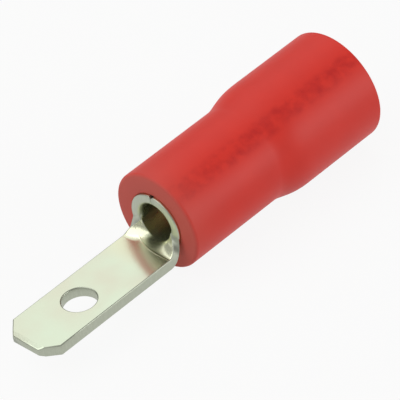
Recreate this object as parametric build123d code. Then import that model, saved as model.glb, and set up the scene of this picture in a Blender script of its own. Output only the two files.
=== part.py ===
from build123d import *
import math
import os

# Male tab terminal with a moulded insulating sleeve, in millimetres.
# +X runs along the barrel towards the wire entry, +Z is up, and the tab lies flat.
# The origin is on the barrel's axis, at the mouth where the wire's strands go in.

# Sheet that the tab and the barrel are stamped from
sheet_thickness = 0.5

# Tab
tab_width = 2.8
tab_length = 7.7
corner_cut = 0.67
lead_in_length = 0.2
lead_in_depth = 0.09
detent_hole_diameter = 1.5
detent_hole_from_tip = 3.1

# Scoop, where the flat tab curls up into the barrel's lower half
scoop_length = 0.7
scoop_steps = 5
scoop_power = 2.2

# Barrel, rolled until the sheet's edges meet at the top
barrel_bore = 1.7
barrel_length = 5.3
barrel_edge_radius = 0.08
seam_gap = 0.06
seam_groove = 0.1

# Sleeve, moulded over the barrel, with a narrow grip, a neck and a wide bell
barrel_proud = 0.1
grip_diameter = 4.55
front_rim_radius = 0.15
front_mouth_chamfer = 0.08
neck_ahead_of_mouth = 0.1
neck_length = 1.3
bell_length = 4.6
bell_diameter = 5.15
bell_bore = 3.9
bell_rim_radius = 0.12
bell_mouth_chamfer = 0.15
funnel_length = 1.2

# Places and radii worked out from the sizes above
bore_radius = barrel_bore / 2
barrel_radius = bore_radius + sheet_thickness
roll_radius = bore_radius + sheet_thickness / 2
strip_half_wrap = tab_width / 2 / roll_radius
barrel_front = -barrel_length
tab_back = barrel_front - scoop_length
tab_tip = barrel_front - tab_length
sleeve_front = barrel_front + barrel_proud
neck_front = -neck_ahead_of_mouth
neck_back = neck_front + neck_length
sleeve_back = neck_back + bell_length


def make_tab():
    """Flat tab with cut front corners, a thinned leading edge and a detent hole."""
    half_width = tab_width / 2
    half_sheet = sheet_thickness / 2
    plan = Polyline(
        (tab_back, -half_width),
        (tab_back, half_width),
        (tab_tip + corner_cut, half_width),
        (tab_tip, half_width - corner_cut),
        (tab_tip, corner_cut - half_width),
        (tab_tip + corner_cut, -half_width),
        close=True,
    )
    side = Polyline(
        (tab_back, -half_sheet),
        (tab_back, half_sheet),
        (tab_tip + lead_in_length, half_sheet),
        (tab_tip, half_sheet - lead_in_depth),
        (tab_tip, lead_in_depth - half_sheet),
        (tab_tip + lead_in_length, -half_sheet),
        close=True,
    )
    blank = extrude(make_face(plan), half_sheet, both=True)
    thinned = extrude(Plane.XZ * make_face(side), half_width, both=True)
    hole_x = tab_tip + detent_hole_from_tip
    hole = Pos(hole_x, 0, 0) * Cylinder(detent_hole_diameter / 2, sheet_thickness)
    return Pos(0, 0, -roll_radius) * ((blank & thinned) - hole)


def flat_section(x):
    """Section across the flat tab at x."""
    return Plane.YZ.offset(x) * Pos(0, -roll_radius) * Rectangle(tab_width, sheet_thickness)


def curled_section(x, half_wrap):
    """Section at x where the tab's width is curled up by half_wrap radians to each side."""
    curl_radius = tab_width / 2 / half_wrap
    centre_z = curl_radius - roll_radius
    arcs = []
    for radius in (curl_radius - sheet_thickness / 2, curl_radius + sheet_thickness / 2):
        left, lowest, right = [
            Vector(x, radius * math.sin(angle), centre_z - radius * math.cos(angle))
            for angle in (-half_wrap, 0, half_wrap)
        ]
        arcs.append(ThreePointArc(left, lowest, right))
    inner, outer = arcs
    ends = [Line(inner @ 0, outer @ 0), Line(inner @ 1, outer @ 1)]
    return make_face([inner, outer, *ends])


def make_scoop():
    """Smooth stretch of strip from the flat tab to the curl that the barrel's floor has."""
    sections = [flat_section(tab_back)]
    for step in range(1, scoop_steps + 1):
        share = step / scoop_steps
        half_wrap = strip_half_wrap * share**scoop_power
        sections.append(curled_section(tab_back + scoop_length * share, half_wrap))
    return loft(sections)


def make_barrel():
    """Rolled barrel whose meeting edges leave a narrow seam with a groove above it."""
    ring = Circle(barrel_radius) - Circle(bore_radius)
    wall = extrude(Plane.YZ.offset(barrel_front) * ring, barrel_length)
    front_edges = wall.faces().sort_by(Axis.X)[0].edges()
    wall = fillet(front_edges, barrel_edge_radius)
    seam = Polyline(
        (seam_gap / 2, 0),
        (seam_gap / 2, barrel_radius - seam_groove),
        (seam_gap / 2 + seam_groove, barrel_radius + seam_groove / 2),
        (-seam_gap / 2 - seam_groove, barrel_radius + seam_groove / 2),
        (-seam_gap / 2, barrel_radius - seam_groove),
        (-seam_gap / 2, 0),
        close=True,
    )
    wall -= extrude(Plane.YZ.offset(barrel_front) * make_face(seam), barrel_length)
    # The scoop joins a floor whose front edge isn't rounded
    floor = extrude(curled_section(barrel_front, strip_half_wrap), barrel_length, dir=(1, 0, 0))
    return wall + floor


def rim(solid, x, radius):
    """Circular edge of the given radius about the barrel's axis at x."""
    tolerance = 1e-4
    circles = solid.edges().filter_by(GeomType.CIRCLE)
    at_x = circles.filter_by_position(Axis.X, x - tolerance, x + tolerance)
    return [circle for circle in at_x if abs(circle.radius - radius) < tolerance]


def make_sleeve():
    """Sleeve turned about the barrel's axis, bored for the barrel and for the wire's insulation."""
    grip_radius = grip_diameter / 2
    bell_radius = bell_diameter / 2
    bell_bore_radius = bell_bore / 2
    outside = [
        Line((sleeve_front, barrel_radius), (sleeve_front, grip_radius)),
        Line((sleeve_front, grip_radius), (neck_front, grip_radius)),
        Spline((neck_front, grip_radius), (neck_back, bell_radius), tangents=[(1, 0), (1, 0)]),
        Line((neck_back, bell_radius), (sleeve_back, bell_radius)),
    ]
    inside = Polyline(
        (sleeve_back, bell_radius),
        (sleeve_back, bell_bore_radius),
        (funnel_length, bell_bore_radius),
        (0, barrel_radius),
        (sleeve_front, barrel_radius),
    )
    sleeve = revolve(Plane.XZ * make_face([*outside, inside]), Axis.X)
    sleeve = fillet(rim(sleeve, sleeve_front, grip_radius), front_rim_radius)
    sleeve = fillet(rim(sleeve, sleeve_back, bell_radius), bell_rim_radius)
    sleeve = chamfer(rim(sleeve, sleeve_front, barrel_radius), front_mouth_chamfer)
    return chamfer(rim(sleeve, sleeve_back, bell_bore_radius), bell_mouth_chamfer)


os.makedirs("parts", exist_ok=True)
nodes = {
    "tab_terminal": make_tab() + make_scoop() + make_barrel(),
    "insulating_sleeve": make_sleeve(),
}
for node, solid in nodes.items():
    solid.label = node
    export_step(solid, f"parts/{node}.step")
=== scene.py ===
import bpy
import bmesh
import math
from mathutils import Euler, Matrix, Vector


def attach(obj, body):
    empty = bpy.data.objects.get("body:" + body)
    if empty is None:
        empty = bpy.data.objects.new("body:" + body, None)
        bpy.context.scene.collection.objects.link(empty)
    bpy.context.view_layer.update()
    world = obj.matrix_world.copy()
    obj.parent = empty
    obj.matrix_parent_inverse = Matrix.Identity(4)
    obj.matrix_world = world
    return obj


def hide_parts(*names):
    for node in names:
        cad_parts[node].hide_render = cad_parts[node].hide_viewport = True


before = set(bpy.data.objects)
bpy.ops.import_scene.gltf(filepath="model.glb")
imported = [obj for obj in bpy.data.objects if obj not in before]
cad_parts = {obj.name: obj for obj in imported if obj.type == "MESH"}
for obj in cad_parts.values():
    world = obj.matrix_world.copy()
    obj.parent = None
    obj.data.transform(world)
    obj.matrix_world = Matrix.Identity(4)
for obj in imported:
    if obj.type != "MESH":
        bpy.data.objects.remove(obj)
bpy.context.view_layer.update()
scene = bpy.context.scene
mm = 0.001  # every size below is in millimetres, and Blender works in metres
print("frame loaded")

# The terminal's strip, before and after it is rolled
terminal = {
    "sheet": 0.5,
    "tabWidth": 2.8,
    "tip": -13.0,
    "tabBack": -6.0,
    "barrelFront": -5.3,
    "rollRadius": 1.1,       # axis of the barrel to the middle of the sheet
    "scoopPower": 1.8,       # how late the curl starts on its way to the barrel
    "cornerCut": 0.67,
    "leadIn": 0.2,
    "leadInDepth": 0.09,
    "holeAt": -9.9,
    "holeWidth": 1.5,
    "holeMargin": 0.3,       # of plain mesh around the hole
    "holeSides": 64,
    "seamGap": 0.03,
    "columns": 96,
    "scoopRows": 16,
    "wingFillet": 0.2,
    "edgeRound": 0.045,      # every sheared edge
    "mouthRound": 0.2,       # inside of the barrel's front edge
    "mouthRows": 6,
    "seamRound": 0.08,
}


def srgb(hexText):
    out = []
    for i in (0, 2, 4):
        c = int(hexText[i:i + 2], 16) / 255
        out.append(c / 12.92 if c <= 0.04045 else ((c + 0.055) / 1.055) ** 2.4)
    return (*out, 1.0)


def newPiece(name, bm, materials):
    bmesh.ops.remove_doubles(bm, verts=bm.verts, dist=0.0005)
    bmesh.ops.recalc_face_normals(bm, faces=bm.faces)
    bmesh.ops.scale(bm, verts=bm.verts, vec=(mm, mm, mm))
    mesh = bpy.data.meshes.new(name)
    bm.to_mesh(mesh)
    bm.free()
    for coat in materials:
        mesh.materials.append(coat)
    mesh.shade_smooth()
    piece = bpy.data.objects.new(name, mesh)
    scene.collection.objects.link(piece)
    tidyNormals = piece.modifiers.new("flatFacesStayFlat", "WEIGHTED_NORMAL")
    tidyNormals.weight = 60
    tidyNormals.keep_sharp = True
    return piece


def roundOff(bm, edges, radius, segments):
    bmesh.ops.bevel(bm, geom=edges, offset=radius, segments=segments, profile=0.5,
                    affect="EDGES", material=-1)


def cut(bm, geom, place, normal, clear=False):
    bmesh.ops.bisect_plane(bm, geom=geom, plane_co=place, plane_no=normal, clear_outer=clear)


def everything(bm):
    return bm.verts[:] + bm.edges[:] + bm.faces[:]


def behind(bm, x):
    faces = [f for f in bm.faces if f.calc_center_median().x > x]
    edges = {e for f in faces for e in f.edges}
    verts = {v for f in faces for v in f.verts}
    return faces + list(edges) + list(verts)


# from the middle of the strip to the edge that meets its twin at the seam
def halfBlank(t):
    return math.pi * t["rollRadius"] - t["seamGap"] / 2


# Flat blank first, as it is stamped: x along the part, y across, z through the sheet
def stampBlank(t):
    bm = bmesh.new()
    halfTab = t["tabWidth"] / 2
    halfRoll = halfBlank(t)
    bmesh.ops.create_grid(bm, x_segments=1, y_segments=1, size=0.5)
    bmesh.ops.scale(bm, verts=bm.verts, vec=(-t["tip"], 2 * halfRoll, 1))
    bmesh.ops.translate(bm, verts=bm.verts, vec=(t["tip"] / 2, 0, 0))

    # the wings belong to the barrel only, with a small fillet where they leave the tab
    cut(bm, everything(bm), (t["barrelFront"], 0, 0), (1, 0, 0))
    for side in (-1, 1):
        cut(bm, everything(bm), (0, side * halfTab, 0), (0, 1, 0))
    spare = [f for f in bm.faces if abs(f.calc_center_median().y) > halfTab
             and f.calc_center_median().x < t["barrelFront"]]
    bmesh.ops.delete(bm, geom=spare, context="FACES")
    bmesh.ops.dissolve_faces(bm, faces=bm.faces[:])
    inner = [v for v in bm.verts if abs(v.co.x - t["barrelFront"]) < 0.001
             and abs(abs(v.co.y) - halfTab) < 0.001]
    bmesh.ops.bevel(bm, geom=inner, offset=t["wingFillet"], segments=6, profile=0.5,
                    affect="VERTICES", material=-1)

    # front corners cut off, then a row where the lead-in starts
    for side in (-1, 1):
        corner = (t["tip"] + t["cornerCut"], side * halfTab, 0)
        cut(bm, everything(bm), corner, (-1, side, 0), clear=True)
    cut(bm, everything(bm), (t["tip"] + t["leadIn"], 0, 0), (1, 0, 0))

    # a square around the hole, filled again up to the hole's circle
    halfSquare = t["holeWidth"] / 2 + t["holeMargin"]
    for side in (-1, 1):
        cut(bm, everything(bm), (t["holeAt"] + side * halfSquare, 0, 0), (1, 0, 0))
    middle = Vector((t["holeAt"], 0, 0))
    for side in (-1, 1):
        around = [f for f in bm.faces if abs(f.calc_center_median().x - middle.x) < halfSquare]
        edges = list({e for f in around for e in f.edges})
        cut(bm, around + edges + list({v for e in edges for v in e.verts}),
            (0, side * halfSquare, 0), (0, 1, 0))
    square = min(bm.faces, key=lambda f: (f.calc_center_median() - middle).length)
    sides = square.edges[:]
    bmesh.ops.delete(bm, geom=[square], context="FACES_ONLY")
    hole = bmesh.ops.create_circle(bm, segments=t["holeSides"], radius=t["holeWidth"] / 2)
    bmesh.ops.translate(bm, verts=hole["verts"], vec=middle)
    ring = list({e for v in hole["verts"] for e in v.link_edges})
    bmesh.ops.triangle_fill(bm, use_beauty=True, use_dissolve=False, edges=sides + ring)
    print("blank stamped:", len(bm.faces), "faces")
    return bm


def thicken(bm, t):
    half = t["sheet"] / 2
    bmesh.ops.translate(bm, verts=bm.verts, vec=(0, 0, -half))
    grown = bmesh.ops.extrude_face_region(bm, geom=bm.faces[:], use_keep_orig=True)
    top = [v for v in grown["geom"] if isinstance(v, bmesh.types.BMVert)]
    bmesh.ops.translate(bm, verts=top, vec=(0, 0, t["sheet"]))
    bmesh.ops.recalc_face_normals(bm, faces=bm.faces)
    # the sheet is pressed thinner towards the tip
    start = t["tip"] + t["leadIn"]
    for v in bm.verts:
        if v.co.x < start - 0.001:
            v.co.z *= 1 - t["leadInDepth"] / half * (start - v.co.x) / t["leadIn"]


def isCutEdge(e):
    up = [abs(f.normal.z) > 0.6 for f in e.link_faces]
    return len(up) == 2 and up[0] != up[1]


# The outside of the seam's two edges is broken more, everything else is barely rounded
def roundEdges(bm, t):
    halfRoll = halfBlank(t)
    seam = [e for e in bm.edges if isCutEdge(e)
            and min(abs(v.co.y) for v in e.verts) > halfRoll - 0.01 and e.verts[0].co.z < 0]
    roundOff(bm, seam, t["seamRound"], 1)
    bm.normal_update()
    wire = [e for e in bm.edges if isCutEdge(e)
            and min(abs(v.co.y) for v in e.verts) < halfRoll - 0.2]
    roundOff(bm, wire, t["edgeRound"], 2)
    bm.normal_update()


# Rows and columns through the solid wherever it is going to be curled
def divideCurl(bm, t):
    halfRoll = halfBlank(t)
    rows = [t["tabBack"] + (t["barrelFront"] - t["tabBack"]) * i / t["scoopRows"]
            for i in range(t["scoopRows"] + 1)]
    rows += [t["barrelFront"] + t["mouthRound"] * i / t["mouthRows"]
             for i in range(1, t["mouthRows"] + 1)]
    for x in rows:
        cut(bm, everything(bm), (x, 0, 0), (1, 0, 0))
    for i in range(1, t["columns"]):
        y = halfRoll * (2 * i / t["columns"] - 1)
        cut(bm, behind(bm, t["tabBack"]), (0, y, 0), (0, 1, 0))


# The barrel's mouth is belled a little inside, so that wire strands do not catch on it
def roundMouth(bm, t):
    half, radius = t["sheet"] / 2, t["mouthRound"]
    for v in bm.verts:
        into = v.co.x - t["barrelFront"]
        if into > radius or v.co.z < half - radius:
            continue
        arc = half - radius + math.sqrt(radius ** 2 - (radius - max(into, 0)) ** 2)
        share = min(max((abs(v.co.y) - t["tabWidth"] / 2) / (2 * t["wingFillet"]), 0), 1)
        if v.co.z > arc:
            v.co.z += (arc - v.co.z) * share * share * (3 - 2 * share)


def rollUp(bm, t):
    for v in bm.verts:
        x, s, depth = v.co
        share = (x - t["tabBack"]) / (t["barrelFront"] - t["tabBack"])
        share = min(max(share, 0), 1)
        if share < 0.0001:
            v.co.z = depth - t["rollRadius"]
            continue
        radius = t["rollRadius"] / share ** t["scoopPower"]
        fibre = radius - depth
        v.co.y = fibre * math.sin(s / radius)
        v.co.z = radius - t["rollRadius"] - fibre * math.cos(s / radius)


def material(name):
    mat = bpy.data.materials.new(name)
    mat.use_nodes = True
    mat.node_tree.nodes.clear()
    return mat


# one function adds any node, sets what is given and links its inputs
def node(tree, kind, settings=None, **links):
    n = tree.nodes.new(kind)
    for key, value in (settings or {}).items():
        if key in n.inputs:
            n.inputs[key].default_value = value
        else:
            setattr(n, key, value)
    for key, source in links.items():
        name = key.replace("_", " ")
        socket = n.inputs[int(name[1:])] if name[0] == "i" and name[1:].isdigit() else n.inputs[name]
        tree.links.new(source, socket)
    return n


# fills a socket with a plain value or with another node's output
def feed(tree, socket, value):
    if isinstance(value, bpy.types.NodeSocket):
        tree.links.new(value, socket)
    else:
        socket.default_value = value


def blend(tree, share, first, second):
    mix = node(tree, "ShaderNodeMix", {"data_type": "RGBA"})
    feed(tree, mix.inputs[0], share)
    feed(tree, mix.inputs[6], first)
    feed(tree, mix.inputs[7], second)
    return mix.outputs[2]


def calc(tree, operation, first, second=0.0):
    step = node(tree, "ShaderNodeMath", {"operation": operation})
    feed(tree, step.inputs[0], first)
    feed(tree, step.inputs[1], second)
    return step.outputs[0]


# 0 below the first value, 1 above the second, or the other way round if they are swapped
def ramp(tree, value, start, end, kind="LINEAR"):
    settings = {"interpolation_type": kind, "From Min": min(start, end), "From Max": max(start, end),
                "To Min": float(start > end), "To Max": float(start < end)}
    return node(tree, "ShaderNodeMapRange", settings, Value=value).outputs[0]


def between(tree, share, low, high):
    return node(tree, "ShaderNodeMapRange", {"To Min": low, "To Max": high}, Value=share).outputs[0]


def noise(tree, coords, size, detail):
    return node(tree, "ShaderNodeTexNoise", {"Scale": 1 / (size * mm), "Detail": detail},
                Vector=coords).outputs["Fac"]


# Tinned brass sheet: a thin bright plating over rolled brass. The eye sees pale silver with
# a faint green-yellow warmth, nearly a mirror on the flat tab. Where the sheet was stretched
# into the scoop and the barrel the plating is matt, and more of the brass shows through
def tinnedSheet(t):
    look = {"flat": "D7E3CB", "flatDull": "D7D9C3", "flatRoughness": 0.15,
            "worked": "E9EBD2", "workedDull": "DADDBA", "workedRoughness": 0.26,
            "cloudSize": 2.2, "lineWidth": 0.05, "bumpDepth": 0.01,
            # the crease, measured from where the scoop starts, and how it bows towards +Y
            "creaseAt": -0.04, "creaseHalf": 0.05, "bowFrom": -0.75, "bow": 0.17}
    mat = material("tinnedBrassSheet")
    tree = mat.node_tree
    coords = node(tree, "ShaderNodeTexCoord").outputs["Object"]
    place = node(tree, "ShaderNodeSeparateXYZ", Vector=coords).outputs
    worked = ramp(tree, place["X"], (t["tabBack"] - 1.5) * mm, (t["tabBack"] - 0.2) * mm, "SMOOTHSTEP")
    clouds = noise(tree, coords, look["cloudSize"], 2.0)
    flat = blend(tree, ramp(tree, clouds, 0.35, 0.65), srgb(look["flat"]), srgb(look["flatDull"]))
    bent = blend(tree, clouds, srgb(look["worked"]), srgb(look["workedDull"]))
    tint = blend(tree, worked, flat, bent)
    rough = between(tree, worked, look["flatRoughness"], look["workedRoughness"])
    rough = calc(tree, "MULTIPLY", rough, between(tree, clouds, 0.8, 1.2))
    # lines from the rolling mill along the strip
    stretched = node(tree, "ShaderNodeMapping", {"Scale": (0.15, 1, 1)}, Vector=coords).outputs[0]
    bump = node(tree, "ShaderNodeBump", {"Strength": 0.05, "Distance": look["bumpDepth"] * mm},
                Height=noise(tree, stretched, look["lineWidth"], 2.0))
    # the punch leaves a bowed crease where the scoop starts
    bow = calc(tree, "MAXIMUM", calc(tree, "SUBTRACT", place["Y"], look["bowFrom"] * mm), 0.0)
    bow = calc(tree, "MULTIPLY", calc(tree, "MULTIPLY", bow, bow), look["bow"] / mm)
    crease = calc(tree, "ADD", bow, (t["tabBack"] + look["creaseAt"]) * mm)
    away = calc(tree, "ABSOLUTE", calc(tree, "SUBTRACT", place["X"], crease))
    ridge = ramp(tree, away, look["creaseHalf"] * mm, 0.0, "SMOOTHSTEP")
    bump = node(tree, "ShaderNodeBump", {"Strength": 0.4, "Distance": look["bumpDepth"] * mm},
                Height=ridge, Normal=bump.outputs[0])
    bsdf = node(tree, "ShaderNodeBsdfPrincipled", {"Metallic": 1.0}, Base_Color=tint,
                Roughness=rough, Normal=bump.outputs[0])
    node(tree, "ShaderNodeOutputMaterial", Surface=bsdf.outputs[0])
    return mat


# Sheared edge of the same sheet: no polish, so it is a duller grey-green and shows the shear's
# fine scratches through the sheet
def shearedEdge():
    look = {"colour": "B9BEAE", "dull": "A7AC9B", "roughness": 0.38,
            "scratchWidth": 0.06, "bumpDepth": 0.01}
    mat = material("shearedBrassEdge")
    tree = mat.node_tree
    coords = node(tree, "ShaderNodeTexCoord").outputs["Object"]
    stretched = node(tree, "ShaderNodeMapping", {"Scale": (1, 1, 0.2)}, Vector=coords).outputs[0]
    scratches = noise(tree, stretched, look["scratchWidth"], 2.0)
    tint = blend(tree, scratches, srgb(look["dull"]), srgb(look["colour"]))
    bump = node(tree, "ShaderNodeBump", {"Strength": 0.1, "Distance": look["bumpDepth"] * mm},
                Height=scratches)
    bsdf = node(tree, "ShaderNodeBsdfPrincipled", {"Metallic": 1.0, "Roughness": look["roughness"]},
                Base_Color=tint, Normal=bump.outputs[0])
    node(tree, "ShaderNodeOutputMaterial", Surface=bsdf.outputs[0])
    return mat


# Share of the darker patches in a band along the sleeve, where its skin was rubbed
def rubbedBand(tree, coords, look):
    up, side = math.sin(look["bandAngle"]), math.cos(look["bandAngle"])
    height = node(tree, "ShaderNodeVectorMath", {"operation": "DOT_PRODUCT"}, i0=coords)
    height.inputs[1].default_value = (0, -side, up)
    across = node(tree, "ShaderNodeVectorMath", {"operation": "DOT_PRODUCT"}, i0=coords)
    across.inputs[1].default_value = (0, up, side)
    above = calc(tree, "GREATER_THAN", height.outputs["Value"], 0.0)
    away = calc(tree, "ABSOLUTE", across.outputs["Value"])
    band = ramp(tree, away, look["bandHalf"] * mm, 0.4 * look["bandHalf"] * mm, "SMOOTHSTEP")
    blots = ramp(tree, noise(tree, coords, look["blotSize"], 3.0), 0.38, 0.7)
    blots = calc(tree, "MULTIPLY", blots, look["rubbedShare"])
    return calc(tree, "MULTIPLY", calc(tree, "MULTIPLY", above, band), blots)


# Moulded flexible PVC: a satin skin, strong red in its body, with a soft, paler sheen along it
# and slight clouding from the moulding. The front end is more matt, and painted paler and greyer:
# a painted sheen on its outside and painted shade on its front face
def mouldedVinyl(s):
    look = {"colour": "DE2B19", "deep": "D12414", "cloudSize": 1.2,
            # the front end's painted sheen and shade: its colour, reach and share; its roughness is
            # real
            "sheenAndShadeTint": "C55146", "paintedSheenLength": 2.8, "paintedSheenShare": 0.45, "paleRoughness": 0.62,
            "rubbed": "BE120B", "rubbedShare": 0.9, "blotSize": 0.5,
            "bandAngle": math.radians(54), "bandHalf": 0.6,
            "roughness": 0.5, "grainSize": 0.08, "bumpDepth": 0.01, "ior": 1.53, "shine": 0.42}
    mat = material("mouldedRedVinyl")
    tree = mat.node_tree
    coords = node(tree, "ShaderNodeTexCoord").outputs["Object"]
    along = node(tree, "ShaderNodeSeparateXYZ", Vector=coords).outputs["X"]
    clouds = noise(tree, coords, look["cloudSize"], 3.0)
    body = blend(tree, clouds, srgb(look["deep"]), srgb(look["colour"]))
    body = blend(tree, rubbedBand(tree, coords, look), body, srgb(look["rubbed"]))
    # painted sheen and shade: paler all over the front face, and fading away behind it
    front = s["front"] * mm
    paintedSheenFade = ramp(tree, along, front + look["paintedSheenLength"] * mm, front)
    paintedSheenFade = calc(tree, "MULTIPLY", calc(tree, "MULTIPLY", paintedSheenFade, paintedSheenFade), look["paintedSheenShare"])
    sheenShadeAndMatt = calc(tree, "MAXIMUM", paintedSheenFade, ramp(tree, along, front + s["frontRound"] * mm, front))
    # the painted sheen and shade are mixed into the red at the front end here
    tint = blend(tree, sheenShadeAndMatt, body, srgb(look["sheenAndShadeTint"]))
    bump = node(tree, "ShaderNodeBump", {"Strength": 0.12, "Distance": look["bumpDepth"] * mm},
                Height=noise(tree, coords, look["grainSize"], 2.0))
    rough = between(tree, sheenShadeAndMatt, look["roughness"], look["paleRoughness"])
    skin = {"IOR": look["ior"], "Specular IOR Level": look["shine"]}
    bsdf = node(tree, "ShaderNodeBsdfPrincipled", skin, Base_Color=tint, Roughness=rough,
                Normal=bump.outputs[0])
    node(tree, "ShaderNodeOutputMaterial", Surface=bsdf.outputs[0])
    return mat


# Edge faces stand nearly upright. The lead-in slopes too, so it has a limit of its own
def isSteep(t, x, upward, leadInLimit, limit=0.95):
    return abs(upward) < (leadInLimit if x < t["tip"] + t["leadIn"] else limit)


def makeTerminal(t):
    bm = stampBlank(t)
    thicken(bm, t)
    roundEdges(bm, t)
    divideCurl(bm, t)
    bm.normal_update()
    for f in bm.faces:
        middle = f.calc_center_median()
        belled = (middle.x < t["barrelFront"] + t["mouthRound"]
                  and abs(middle.y) > t["tabWidth"] / 2 + t["wingFillet"])
        sheared = isSteep(t, middle.x, f.normal.z, 0.5) or (belled and middle.z > 0)
        f.material_index = 1 if sheared else 0
    roundMouth(bm, t)
    rollUp(bm, t)
    piece = newPiece("stampedTerminal", bm, [tinnedSheet(t), shearedEdge()])
    # the tab's two faces and its lead-in stay exactly flat, whatever edges run around them
    for face in piece.data.polygons:
        x = face.center.x / mm
        face.use_smooth = x > t["tabBack"] or isSteep(t, x, face.normal.z, 0.85)
    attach(piece, "root")
    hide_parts("tab_terminal")
    print("terminal rolled")


# The sleeve's section, as distance along the part and radius
sleeve = {
    "front": -5.2,
    "back": 5.8,
    "gripRadius": 2.275,
    "bellRadius": 2.575,
    "neckFrom": -0.1,
    "neckTo": 1.9,
    "neckLean": 1.6,         # how far forward the steep part of the neck sits
    "neckSteps": 20,
    "barrelRadius": 1.35,
    "bellBoreRadius": 1.95,
    "funnelTo": 1.2,
    "frontRound": 0.15,
    "backRound": 0.12,
    "frontChamfer": 0.04,
    "backChamfer": 0.15,
    "softEdge": 0.03,
    "turns": 120,
}


def makeSleeve(s):
    bm = bmesh.new()
    corners = {
        "mouthIn": (s["front"] + s["frontChamfer"], s["barrelRadius"], s["softEdge"]),
        "mouthOut": (s["front"], s["barrelRadius"] + s["frontChamfer"], s["softEdge"]),
        "frontRim": (s["front"], s["gripRadius"], s["frontRound"]),
        "neckFrom": (s["neckFrom"], s["gripRadius"], 0),
        "neckTo": (s["neckTo"], s["bellRadius"], 0),
        "backRim": (s["back"], s["bellRadius"], s["backRound"]),
        "bellOut": (s["back"], s["bellBoreRadius"] + s["backChamfer"], s["softEdge"]),
        "bellIn": (s["back"] - s["backChamfer"], s["bellBoreRadius"], s["softEdge"]),
        "funnelTop": (s["funnelTo"], s["bellBoreRadius"], s["softEdge"]),
        "funnelFoot": (0, s["barrelRadius"], s["softEdge"]),
    }
    points = {name: bm.verts.new((x, 0, r)) for name, (x, r, soft) in corners.items()}
    bm.faces.new(points.values())
    neck = bm.edges.get((points["neckFrom"], points["neckTo"]))
    bmesh.ops.subdivide_edges(bm, edges=[neck], cuts=s["neckSteps"])
    length, rise = s["neckTo"] - s["neckFrom"], s["bellRadius"] - s["gripRadius"]
    for v in bm.verts:
        u = (v.co.x - s["neckFrom"]) / length
        if 0 < u < 1 and v.co.z > s["gripRadius"]:
            u = 1 - (1 - u) ** s["neckLean"]
            v.co.z = s["gripRadius"] + rise * u * u * (3 - 2 * u)   # an S that leaves both walls level
    for x, r, soft in corners.values():
        if soft:
            corner = min(bm.verts, key=lambda v: (v.co - Vector((x, 0, r))).length)
            bmesh.ops.bevel(bm, geom=[corner], offset=soft, segments=6 if soft > 0.1 else 2,
                            profile=0.5, affect="VERTICES", material=-1)
    bmesh.ops.delete(bm, geom=bm.faces[:], context="FACES_ONLY")
    bmesh.ops.spin(bm, geom=bm.verts[:] + bm.edges[:], cent=(0, 0, 0), axis=(1, 0, 0),
                   angle=2 * math.pi, steps=s["turns"], use_merge=True)
    piece = newPiece("mouldedSleeve", bm, [mouldedVinyl(s)])
    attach(piece, "root")
    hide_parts("insulating_sleeve")
    print("sleeve moulded")


makeTerminal(terminal)
makeSleeve(sleeve)


# White sheet of paper under the part, which the camera and the metal see as plain white
floorSettings = {"height": -2.575, "size": 3000, "paper": "D0D0CE", "whiteShare": 0.91}


def makeFloor(f):
    mat = material("whitePaper")
    tree = mat.node_tree
    path = node(tree, "ShaderNodeLightPath").outputs
    seen = calc(tree, "MAXIMUM", path["Is Camera Ray"], path["Is Glossy Ray"])
    seen = calc(tree, "MAXIMUM", seen, path["Is Transmission Ray"])
    share = calc(tree, "MULTIPLY", seen, f["whiteShare"])
    paper = node(tree, "ShaderNodeBsdfDiffuse", {"Color": srgb(f["paper"])})
    white = node(tree, "ShaderNodeEmission", {"Strength": 1.0})
    mixed = node(tree, "ShaderNodeMixShader", None, i0=share, i1=paper.outputs[0], i2=white.outputs[0])
    node(tree, "ShaderNodeOutputMaterial", Surface=mixed.outputs[0])
    bm = bmesh.new()
    bmesh.ops.create_grid(bm, x_segments=1, y_segments=1, size=f["size"] / 2)
    bmesh.ops.translate(bm, verts=bm.verts, vec=(0, 0, f["height"]))
    bmesh.ops.scale(bm, verts=bm.verts, vec=(mm, mm, mm))
    mesh = bpy.data.meshes.new("paperFloor")
    bm.to_mesh(mesh)
    bm.free()
    mesh.materials.append(mat)
    floor = bpy.data.objects.new("paperFloor", mesh)
    scene.collection.objects.link(floor)


makeFloor(floorSettings)

# Soft light: a dim tent, with boxes given by direction from the part, distance, size and radiance
lights = {
    "tent": 0.38,
    "backBox": {"from": (0.32, 0.50, 0.80), "away": 300, "size": 340, "radiance": 0.72},
    "frontBox": {"from": (-0.58, 0.20, 0.79), "away": 300, "size": 360, "radiance": 1.2},
    "sideBox": {"from": (0.55, -0.83, 0.14), "away": 300, "size": 200, "radiance": 3.2},
}


def addBox(name, b):
    box = bpy.data.lights.new(name, "AREA")
    box.shape = "SQUARE"
    box.size = b["size"] * mm
    box.energy = b["radiance"] * math.pi * box.size ** 2
    lamp = bpy.data.objects.new(name, box)
    direction = Vector(b["from"]).normalized()
    lamp.location = direction * b["away"] * mm
    lamp.rotation_euler = direction.to_track_quat("Z", "Y").to_euler()
    scene.collection.objects.link(lamp)


def makeLights(given):
    world = bpy.data.worlds.new("tent")
    world.use_nodes = True
    world.node_tree.nodes["Background"].inputs[0].default_value = (1, 1, 1, 1)
    world.node_tree.nodes["Background"].inputs[1].default_value = given["tent"]
    scene.world = world
    for name in ("backBox", "frontBox", "sideBox"):
        addBox(name, given[name])


makeLights(lights)

# Camera from the upper front, with a long lens close to how the picture was taken
view = {"place": (-78.70, -91.30, 93.63), "turn": (51.138, 8.019, -46.181), "lens": 330.14}


def makeCamera(v):
    data = bpy.data.cameras.new("camera")
    data.lens = v["lens"]
    data.sensor_width = 36
    data.clip_start = 0.01
    data.clip_end = 10
    camera = bpy.data.objects.new("camera", data)
    camera.location = Vector(v["place"]) * mm
    camera.rotation_euler = Euler([math.radians(a) for a in v["turn"]])
    scene.collection.objects.link(camera)
    scene.camera = camera


makeCamera(view)
scene.view_settings.view_transform = "Standard"
print("stage lit")
